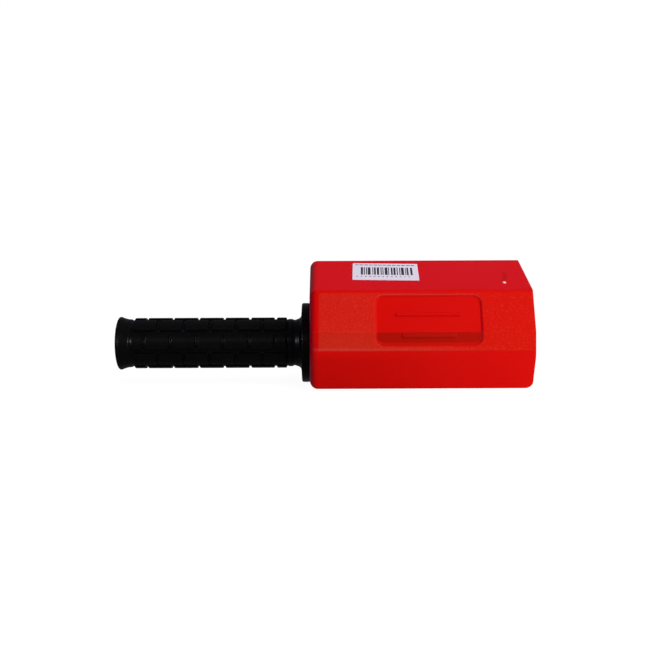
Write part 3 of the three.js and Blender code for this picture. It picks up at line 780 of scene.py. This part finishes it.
def grip_profile():
    """Half section of the grip: the lip, the neck that carries the tread, the rings and the flange."""
    marks = [TREAD.start + 0.4, TREAD.end - 0.4]
    marks += [end for blocks in ROW_BLOCKS for _, end in blocks[:-1]]
    profile = [(0, 0), (0, 9), (0, 17.2)]
    profile += arc((LIP_ROUNDING, LIP_RADIUS - LIP_ROUNDING), LIP_ROUNDING, 180, 90)
    profile += curve(*LIP_CURVE, 10)
    profile += GROOVE
    profile += [(x, NECK_RADIUS)
                for x in graded(TREAD.start - 0.2, TREAD.end + 0.2, marks, reach=2.2,
                                fine=0.33, coarse=2.5)]
    profile += RINGS
    profile += curve(*FLANGE_CURVE, 8)
    profile += [(FLANGE_X + 0.1, 22.5), (FLANGE_X + 0.3, 25.2)]
    rim = FLANGE_BACK_ROUNDING
    profile += arc((FLANGE_X + 0.4 + rim, FLANGE_RADIUS - rim), rim, 172, 90, 7)
    rim = FLANGE_FRONT_ROUNDING
    profile += arc((GRIP_END - rim, FLANGE_RADIUS - rim), rim, 90, 0, 6)
    pocket_x = GRIP_END - POCKET_DEPTH
    return profile + [
        (GRIP_END, POCKET_RADIUS + 0.3), (GRIP_END - 0.3, POCKET_RADIUS),
        (pocket_x, POCKET_RADIUS), (pocket_x, GRIP_BORE + 0.4), (pocket_x - 0.4, GRIP_BORE),
        (GRIP_END_WALL, GRIP_BORE), (GRIP_END_WALL, 0)]


def rubber_grip():
    """The half section carried round the axis, raised at the tread blocks."""
    edges = [ROW_STEP * row - TREAD.turn + side * (BLOCK_HALF_ANGLE - 1)
             for row in range(-1, TREAD.rows + 2) for side in (-1, 1)]
    angles = graded(0, 360, edges, reach=2.8, fine=0.7, coarse=6)[:-1]
    points, rings, steepness = [], [], []
    for x, radius in grip_profile()[1:-1]:
        on_tread = radius == NECK_RADIUS
        ring = []
        for angle in angles:
            height = tread_height(x, angle) if on_tread else 0
            raised = radius + (BLOCK_RADIUS - NECK_RADIUS) * height
            ring.append(len(points))
            points.append((x, *polar(raised, 90 + angle)))
            # Steepness of the block sides, where the rubber's colour is darkened as painted shade.
            steepness.append(4 * height * (1 - height))
        rings.append(ring)
    mesh = mesh_of("grip", points, capped(rings))
    give(mesh, "steep", steepness)
    return mesh


# ---- Label ----

LABEL = Sizes(length=46.0, height=29.0, x=53.0, down=20.7, turn=2.3, thickness=0.15, gap=0.05,
              corner=0.6)
BAR_ZONE = Sizes(x0=-17.2, x1=19.6, y0=-5.6, y1=7.4)  # from the label's centre
BAR_WIDTHS = (1.5, 0.7, 0.7, 1.9, 0.6, 1.2)
BAR_GAPS = (0.6, 0.9, 0.5, 1.3, 0.6, 0.8, 1.1)
# Rows of dashes in place of words and figures: x from, x to, y, half height, dash, gap.
DASH_ROWS = ((-21.4, 21.0, 11.6, 0.55, 2.6, 0.7), (-20.3, 18.5, -8.6, 0.5, 1.2, 1.8))


def ink_patches():
    """Every printed rectangle as (x0, x1, y0, y1): plain bars in a fixed rhythm that encodes nothing,
    then the dashes."""
    patches = []
    x, i = BAR_ZONE.x0, 0
    while x < BAR_ZONE.x1 - 1:
        width = BAR_WIDTHS[i % len(BAR_WIDTHS)]
        patches.append((x, min(x + width, BAR_ZONE.x1), BAR_ZONE.y0, BAR_ZONE.y1))
        x += width + BAR_GAPS[i % len(BAR_GAPS)]
        i += 1
    for start, end, y, half, dash, gap in DASH_ROWS:
        for i in range(int((end - start + gap) / (dash + gap))):
            x = start + i * (dash + gap)
            patches.append((x, x + dash, y - half, y + half))
    return [tuple(round(edge, 2) for edge in patch) for patch in patches]


def printed_label():
    """A thin sheet with rounded corners, its bars and dashes as faces of the ink material."""
    patches = ink_patches()
    half_x, half_y = LABEL.length / 2, LABEL.height / 2
    c = LABEL.corner
    xs, ys = ({side * (half - c * share) for side in (-1, 1) for share in (0, 0.3, 1)}
              for half in (half_x, half_y))
    for x0, x1, y0, y1 in patches:
        xs |= {x0, x1}
        ys |= {y0, y1}
    xs, ys = sorted(xs), sorted(ys)

    def inked(x, y):
        return any(x0 < x < x1 and y0 < y < y1 for x0, x1, y0, y1 in patches)

    def rounded(x, y):
        """Pulls the grid's corner points in to a round corner."""
        dx, dy = abs(x) - (half_x - c), abs(y) - (half_y - c)
        if dx > 0 and dy > 0:
            pull = max(dx, dy) / hypot(dx, dy)
            x = copysign(half_x - c + dx * pull, x)
            y = copysign(half_y - c + dy * pull, y)
        return x, y

    a, b = corners(0, HOOD_FLOOR)[0:2]
    slope = (b - a).normalized()  # down the roof, in (Y, Z)
    out = Vector((slope.y, -slope.x))
    turn = radians(-LABEL.turn)
    centre = a + slope * LABEL.down
    points = []
    for height in (LABEL.thickness + LABEL.gap, LABEL.gap):
        for y in ys:
            for x in xs:
                u, v = rounded(x, y)
                along = u * cos(turn) - v * sin(turn)
                up = u * sin(turn) + v * cos(turn)
                spot = centre - slope * up + out * height
                points.append((HOOD_X + LABEL.x + along, spot.x, spot.y))
    rows = in_rings(len(ys), len(xs))
    layer = len(points) // 2
    edge = [*rows[0], *(row[-1] for row in rows[1:-1])]
    edge += [*reversed(rows[-1]), *(row[0] for row in rows[-2:0:-1])]
    top = bands(rows, closed=False)
    below = [tuple(layer + k for k in face) for face in top]
    mesh = mesh_of("label", points, top + below + bands([edge, [layer + k for k in edge]]))
    cells = [((x0 + x1) / 2, (y0 + y1) / 2)
             for y0, y1 in zip(ys, ys[1:]) for x0, x1 in zip(xs, xs[1:])]
    for face, cell in zip(mesh.polygons, cells):
        face.material_index = int(inked(*cell))
    return mesh


# ---- Pieces inside ----

RACE_SPAN = {side: span(f"{side}_outer_race") for side in ("front", "rear")}
PITCH, BALL, BALLS = 7.25, 1.19, 10
SHOULDER_GAP = 0.52 * BALL  # from the pitch circle to each race's shoulder
RACE_GROOVE, RACE_SHIFT = 1.06 * BALL, 0.03  # radius, and distance of its centre from the pitch circle
RACE_BORE = 5.03
CAGE_HALF, POCKET_GAP = 0.45, 0.12  # half thickness of a cage, clearance round each ball
TUBE_BORE, TUBE_RADIUS, REAR_BORE = 9.5, 11.0, 8.4
TUBE_SCREW_HOLE, RING_SCREW_HOLE, RING_BORE = 2.15, 1.95, 11.4
HUB_THICKNESS, CLIP_GROOVE = 3.0, 0.45
GAP = 0.05  # clearance between neighbouring pieces


def sleeve(node, inner, outer, rounding=0.25, segments=SEGMENTS):
    """Plain ring as long as its CAD node."""
    low, high = span(node)
    corner_points = [(low.x, inner), (low.x, outer), (high.x, outer), (high.x, inner)]
    return turned(node, softened(corner_points, rounding), segments)


def screw_holes(start, end, radius):
    """Cutters for the four flange screws."""
    return [rod(start, end, radius, place=place) for place in SCREW_PLACES]


def handle_tube():
    """Tube with its hub flange, a step behind the rear bearing and a groove for the front circlip."""
    low, high = span("handle_tube")
    hub = high.x - HUB_THICKNESS
    step = RACE_SPAN["rear"][0].x - GAP
    clip_low, clip_high = span("front_circlip")
    groove = (clip_low.x - 0.03, clip_high.x + GAP)
    profile = softened([
        (low.x, REAR_BORE), (low.x, TUBE_RADIUS), (hub, TUBE_RADIUS), (hub, high.y),
        (high.x, high.y), (high.x, TUBE_BORE), (groove[1], TUBE_BORE),
        (groove[1], TUBE_BORE + CLIP_GROOVE), (groove[0], TUBE_BORE + CLIP_GROOVE),
        (groove[0], TUBE_BORE), (step, TUBE_BORE), (step, REAR_BORE),
    ], 0.5)
    return cut(turned("tube", profile), screw_holes(hub - 5, high.x + 5, TUBE_SCREW_HOLE))


def clamp_ring():
    low, high = span("clamp_ring")
    ring = sleeve("clamp_ring", RING_BORE, high.y, 0.4)
    return cut(ring, screw_holes(low.x - 2, high.x + 2, RING_SCREW_HOLE))


def tube_plug():
    """Cup with a head that covers the tube's end and a lip that holds in its bore."""
    low, high = span("tube_plug")
    head, lip = low.x + 1.9, REAR_BORE - GAP
    return turned("plug", [
        (low.x, 0), (low.x, 10.3), (low.x + 0.2, 10.8), (low.x + 0.7, 11.0), (head, 11.0),
        (head, lip), (high.x - 1.2, lip), (high.x - 0.4, lip - 0.5), (high.x, lip - 1.1),
        (high.x, lip - 1.9), (high.x - 0.3, lip - 2.0), (head + 1.4, lip - 2.0),
        (head + 1.0, lip - 2.4), (head + 1.0, 0),
    ])


SCREW = Sizes(head=2.2, head_radius=3.6, radius=1.9, root=1.62, pitch=0.7, socket_radius=1.35,
              socket_depth=1.3)


def flange_screw():
    """Button head screw on the X axis, with a hexagon socket in its head."""
    low, high = span("flange_screw_1")
    under, tip, top = high.x - SCREW.head, low.x, high.x
    outside, root, head = SCREW.radius, SCREW.root, SCREW.head_radius
    profile = [(tip, 0), (tip, outside - 0.45), (tip + 0.45, outside)]
    for i in range(int((under - 2.0 - tip) / SCREW.pitch)):  # thread, drawn as closed rings
        x = tip + 0.5 + i * SCREW.pitch
        profile += [(x, outside), (x + 0.15, outside), (x + 0.35, root), (x + 0.5, root)]
    profile += [(under - 1.2, outside), (under, outside), (under, head - 0.2), (under + 0.1, head),
                (under + 0.45, head)]
    profile += curve((under + 0.5, head), (under + 1.2, 3.5), (top - 0.05, 2.9), (top, 1.9), 6)
    socket = rod(top - SCREW.socket_depth, top + 1, SCREW.socket_radius, 6)
    return cut(turned("screw", profile + [(top, 0)], 48), [socket])


def race(side, kind):
    """Outer or inner race of a bearing, with a groove for the balls."""
    low, high = span(f"{side}_{kind}_race")
    if kind == "outer":
        out, first, last, far = 1, low.x, high.x, high.y
    else:
        out, first, last, far = -1, high.x, low.x, RACE_BORE
    shoulder, turn = PITCH + out * SHOULDER_GAP, 180 - 90 * out
    half = degrees(acos((SHOULDER_GAP - RACE_SHIFT) / RACE_GROOVE))
    block = [(first, shoulder), (first, far), (last, far), (last, shoulder)]
    centre = ((low.x + high.x) / 2, PITCH + out * RACE_SHIFT)
    groove = arc(centre, RACE_GROOVE, turn - half, turn + half, 12)
    return turned("race", softened(block, 0.3) + groove)


def ball_cage(side):
    """Moulded ring with a round pocket for each ball."""
    low, high = span(f"{side}_cage")
    middle = (low.x + high.x) / 2
    ring = sleeve(f"{side}_cage", PITCH - CAGE_HALF, PITCH + CAGE_HALF, 0.15, 120)
    pockets = []
    for i in range(BALLS):
        pocket = rod(-2, 2, BALL + POCKET_GAP, 24)
        pocket.transform(Matrix.Rotation(radians(90), 4, "Z"))
        pocket.transform(Matrix.Translation((middle * MM, PITCH * MM, 0)))
        pocket.transform(Matrix.Rotation(2 * pi * i / BALLS, 4, "X"))
        pockets.append(pocket)
    return cut(ring, pockets)


def seal(node):
    """Rubber-faced disc with a shallow ring pressed into each face."""
    low, high = span(node)
    inner, outer = PITCH - SHOULDER_GAP + 0.1, PITCH + SHOULDER_GAP - GAP
    third = (outer - inner) / 3
    bevel, dent = 0.05, 0.08
    face = [(0, inner + bevel), (0, inner + third), (dent, inner + third + dent),
            (dent, outer - third - dent), (0, outer - third), (0, outer - bevel), (bevel, outer)]
    return turned(node, [(low.x + x, radius) for x, radius in face]
                  + [(high.x - x, radius) for x, radius in reversed(face)]
                  + [(high.x - bevel, inner), (low.x + bevel, inner)])


def ball(centre):
    mesh = bpy.data.meshes.new("ball")
    work = bmesh.new()
    bmesh.ops.create_icosphere(work, subdivisions=4, radius=BALL * MM)
    bmesh.ops.translate(work, verts=work.verts, vec=Vector(centre) * MM)
    work.to_mesh(mesh)
    work.free()
    return mesh


def circlip(node, inner, outer, ear_circle, half_gap):
    """Flat spring ring with a gap at the top and an eared end each side of it."""
    low, high = span(node)
    ear, hole = 1.15, 0.5  # radii
    ear_turn = half_gap + degrees(ear / ear_circle)
    turns = graded(half_gap, 360 - half_gap, [ear_turn, 360 - ear_turn], reach=12, fine=1.0,
                   coarse=5)
    points = []
    for turn in turns:
        inside, outside = inner, outer
        for centre in (ear_turn, 360 - ear_turn):
            off = radians(turn - centre)
            reach = ear * ear - (ear_circle * sin(off)) ** 2
            if reach > 0 and cos(off) > 0:
                inside = min(inside, ear_circle * cos(off) - sqrt(reach))
                outside = max(outside, ear_circle * cos(off) + sqrt(reach))
        section = ((low.x, inside), (low.x, outside), (high.x, outside), (high.x, inside))
        points += [(x, *polar(radius, 90 + turn)) for x, radius in section]
    holes = [rod(low.x - 1, high.x + 1, hole, 20, polar(ear_circle, 90 + turn))
             for turn in (ear_turn, -ear_turn)]
    return cut(mesh_of(node, points, capped(in_rings(len(turns), len(section)))), holes)


SOCKET_FLATS, SOCKET_DEPTH = 6.35, 22


def spindle():
    """Shaft with a groove for its circlip, a relief before the shoulder and a hexagon socket."""
    low, high = span("spindle")
    shaft, nose, groove = 4.97, high.y, 4.6
    shoulder = RACE_SPAN["front"][1].x + GAP
    clip_low, clip_high = span("shaft_circlip")
    before, after = clip_low.x - GAP, clip_high.x + 0.03
    profile = [
        (low.x, 0), (low.x, shaft - 0.6), (low.x + 0.15, shaft - 0.35), (low.x + 0.6, shaft),
        (before, shaft), (before, groove), (after, groove),
        (after, shaft), (shoulder - 0.6, shaft), (shoulder - 0.55, shaft - 0.1),
        (shoulder - 0.1, shaft - 0.1), (shoulder, shaft), (shoulder, nose - 0.3),
        (shoulder + 0.3, nose), (high.x - 0.6, nose), (high.x - 0.15, nose - 0.3),
        (high.x, nose - 0.6), (high.x, 0),
    ]
    corner = SOCKET_FLATS / 2 / cos(pi / 6)
    socket = rod(high.x - SOCKET_DEPTH, high.x + 2, corner, 6)
    lead_in = turned("lead_in", [(high.x - 0.7, 0), (high.x - 0.7, corner - 0.7),
                                 (high.x + 0.3, corner + 0.3), (high.x + 0.3, 0)], 48)
    return cut(turned("spindle", profile), [socket, lead_in])


# ---- Assembly ----

HANDLE, TURNING = "handle", "spindle_assembly"


def build():
    put("hood_shell", guard_hood(), "red_plastic", HANDLE, "guard_hood", 40)
    put("ribbed_grip", rubber_grip(), "black_rubber", HANDLE, "rubber_grip", 60)
    label = put("printed_label", printed_label(), "label_paper", HANDLE, "barcode_label")
    label.data.materials.append(LABEL_INK)
    put("tube_and_hub", handle_tube(), "aluminium", HANDLE, "handle_tube")
    put("clamping_ring", clamp_ring(), "plated_steel", HANDLE, "clamp_ring")
    put("end_plug", tube_plug(), "grey_plastic", HANDLE, "tube_plug")
    for i, (y, z) in enumerate(SCREW_PLACES):
        screw = flange_screw()
        screw.transform(Matrix.Translation((0, y * MM, z * MM)))
        put(f"hub_screw_{i + 1}", screw, "plated_steel", HANDLE, f"flange_screw_{i + 1}")
    put("spindle_shaft", spindle(), "plated_steel", TURNING, "spindle")
    put("inner_distance_sleeve", sleeve("inner_spacer", 5.05, 6.3), "aluminium", TURNING,
        "inner_spacer")
    put("outer_distance_sleeve", sleeve("outer_spacer", 8.2, TUBE_BORE - GAP), "aluminium", HANDLE,
        "outer_spacer")
    put("bore_clip", circlip("front_circlip", 8.6, 9.9, 7.8, 10), "spring_steel", HANDLE,
        "front_circlip")
    put("shaft_clip", circlip("shaft_circlip", 4.65, 5.9, 5.9, 20), "spring_steel", TURNING,
        "shaft_circlip")
    for side in ("front", "rear"):
        row = f"{side}_ball_row"
        put(f"{side}_race_outer", race(side, "outer"), "bearing_steel", HANDLE, f"{side}_outer_race")
        put(f"{side}_race_inner", race(side, "inner"), "bearing_steel", TURNING, f"{side}_inner_race")
        put(f"{side}_ball_cage", ball_cage(side), "grey_plastic", row, f"{side}_cage")
        for letter in "ab":
            node = f"{side}_seal_{letter}"
            put(f"{side}_shield_{letter}", seal(node), "seal_rubber", HANDLE, node)
        low, high = RACE_SPAN[side]
        for i in range(BALLS):
            centre = ((low.x + high.x) / 2, *polar(PITCH, 360 * i / BALLS))
            put(f"{side}_steel_ball_{i + 1}", ball(centre), "bearing_steel", row,
                f"{side}_ball_{i + 1}")


# ---- Floor, light and camera ----

LIGHT_RIGHT = 1.33  # strength of the surroundings straight from the right
WORLD_LIGHT = ((0.0, (0.06, 0.03, 0.35)), (0.25, (0.0, 0.0, 0.03)), (1.0, (1.0, 1.0, 1.0)))
WORLD_SEEN = ((0.35, (0.02, 0.02, 0.022)), (1.0, (0.10, 0.10, 0.12)))
GLOW_LEFT, GLOW_RIGHT = 0.35, 0.6  # light the floor gives out at each end of the hood
FLOOR_SHARE = 0.1  # of the floor's seen brightness that shows shadows; the rest is its own glow
# The floor and its backdrop, in millimetres: how far it comes forward, where it starts to bend up,
# the bend's radius, the backdrop's top and half the floor's width.
FLOOR_FRONT, BEND_START, BEND_RADIUS, BACKDROP_TOP, FLOOR_HALF = -4000, 1500, 1200, 5000, 5000
BEND_STEPS = 16
CAMERA_PLACE = (0.14807, -0.6499, 0.0628)  # in metres
CAMERA_TURN = (-0.08, -4.41, -0.24)  # yaw, pitch and roll in degrees
CAMERA_LENS = 49.65


def studio_floor():
    """Pale floor that curves up into a backdrop. It looks evenly lit from behind, like a light
    table, and throws more light on the object from the right than from the left."""
    rest = -FLANGE_RADIUS
    bend = arc((BEND_START, rest + BEND_RADIUS), BEND_RADIUS, -90, 0, BEND_STEPS)
    profile = [(FLOOR_FRONT, rest)] + bend + [(BEND_START + BEND_RADIUS, BACKDROP_TOP)]
    points = [(x, y, z) for x in (-FLOOR_HALF, FLOOR_HALF) for y, z in profile]
    faces = bands(in_rings(2, len(profile)), closed=False)
    mesh = bpy.data.meshes.new("floor")
    mesh.from_pydata([Vector(p) * MM for p in points], [], faces)
    mesh.shade_smooth()
    floor = add_object("studio_floor", mesh)
    s = Shader("pale_floor", roughness=0.9, specular_ior_level=0.0)
    seen = s.add("LightPath").outputs["Is Camera Ray"]
    x = s.add("SeparateXYZ", Vector=s.place()).outputs["X"]
    across = s.window(x, 0.1, 0.35)
    pale = s.between(s.noise(3, 2), grey(0.90), grey(0.93))
    given = s.between(across, grey(0.3), grey(0.8))
    shown = s.between(FLOOR_SHARE, grey(0.0), pale)
    glow = s.between(seen, s.between(across, GLOW_LEFT, GLOW_RIGHT), 1.0 - FLOOR_SHARE / 2)
    mesh.materials.append(s.drive(base_color=s.between(seen, given, shown),
                                  emission_color=grey(1.0), emission_strength=glow))
    floor.visible_glossy = False


def studio_world():
    """Soft light, bright on the right and a dim blue on the left. Reflections see a dim room, and
    the camera sees plain white."""
    world = bpy.data.worlds.new("studio")
    bpy.context.scene.world = world
    world.use_nodes = True
    world.node_tree.nodes.clear()
    n = Nodes(world.node_tree)
    direction = n.add("TexCoord").outputs["Generated"]
    split = n.add("SeparateXYZ", Vector=direction)
    rays = n.add("LightPath").outputs

    def wall(axis, stops, strength):
        """Light whose colour follows the direction along an axis, from -1 at 0 to +1 at 1."""
        shift = n.add("MapRange", Value=split.outputs[axis], **{"From Min": -1})
        ramp = n.add("ValToRGB", Fac=shift.outputs[0])
        for _ in stops[2:]:
            ramp.color_ramp.elements.new(0.5)
        for element, (position, colour) in zip(ramp.color_ramp.elements, stops):
            element.position = position
            element.color = (*colour, 1)
        return n.add("Background", Color=ramp.outputs[0], Strength=strength).outputs[0]

    def swap(ray, usual, other):
        """Another background for one kind of ray."""
        mix = n.add("MixShader", Fac=rays[ray])
        n.feed(mix.inputs[1], usual)
        n.feed(mix.inputs[2], other)
        return mix.outputs[0]

    light = swap("Is Glossy Ray", wall("X", WORLD_LIGHT, LIGHT_RIGHT), wall("Y", WORLD_SEEN, 1.0))
    plain = n.add("Background", Color=(1, 1, 1)).outputs[0]
    n.add("OutputWorld", Surface=swap("Is Camera Ray", light, plain))
    world.cycles.sampling_method = "NONE"


def lamp(name, place, target, size, power, in_gloss=False, colour=(1, 1, 1)):
    """Soft rectangular light at a place in metres, pointed at a target. It lights the surfaces, or
    only shows in their gloss."""
    data = bpy.data.lights.new(name, "AREA")
    data.shape = "RECTANGLE"
    data.size, data.size_y = size
    data.energy = power
    data.color = colour
    light = add_object(name, data)
    light.location = place
    light.rotation_euler = (Vector(target) - Vector(place)).to_track_quat("-Z", "Y").to_euler()
    light.visible_camera = False
    light.visible_glossy = in_gloss
    light.visible_diffuse = not in_gloss


def studio():
    studio_floor()
    studio_world()
    middle = (0.15, 0, 0.01)
    lamp("front", (0.75, -1.0, 0.75), middle, (0.8, 0.8), 9.2)
    lamp("top", (0.3, -0.25, 1.4), middle, (0.8, 0.8), 6.0)
    for side in (-1, 1):
        place = (0.07 + side * 0.66, -0.62, 0.19)
        lamp(f"glint_{side}", place, (0.07, 0, 0), (0.16, 0.1), 1.0, True, (0.85, 0.9, 1.0))
    lamp("sheen", (0.0, -0.9, 0.28), (0.07, 0, 0), (0.5, 0.1), 0.05, True)
    lamp("open_end", (1.3, 0.2, 0.25), middle, (1.0, 0.5), 2.5, True)

    camera = add_object("camera", bpy.data.cameras.new("camera"))
    camera.location = CAMERA_PLACE
    yaw, pitch, roll = (radians(a) for a in CAMERA_TURN)
    turn = Euler((pi / 2 + pitch, 0, yaw)).to_matrix() @ Matrix.Rotation(roll, 3, "Z")
    camera.rotation_euler = turn.to_euler()
    camera.data.sensor_width = 36
    camera.data.lens = CAMERA_LENS
    camera.data.clip_start = 0.01
    bpy.context.scene.camera = camera
    bpy.context.scene.view_settings.view_transform = "Standard"


build()
studio()
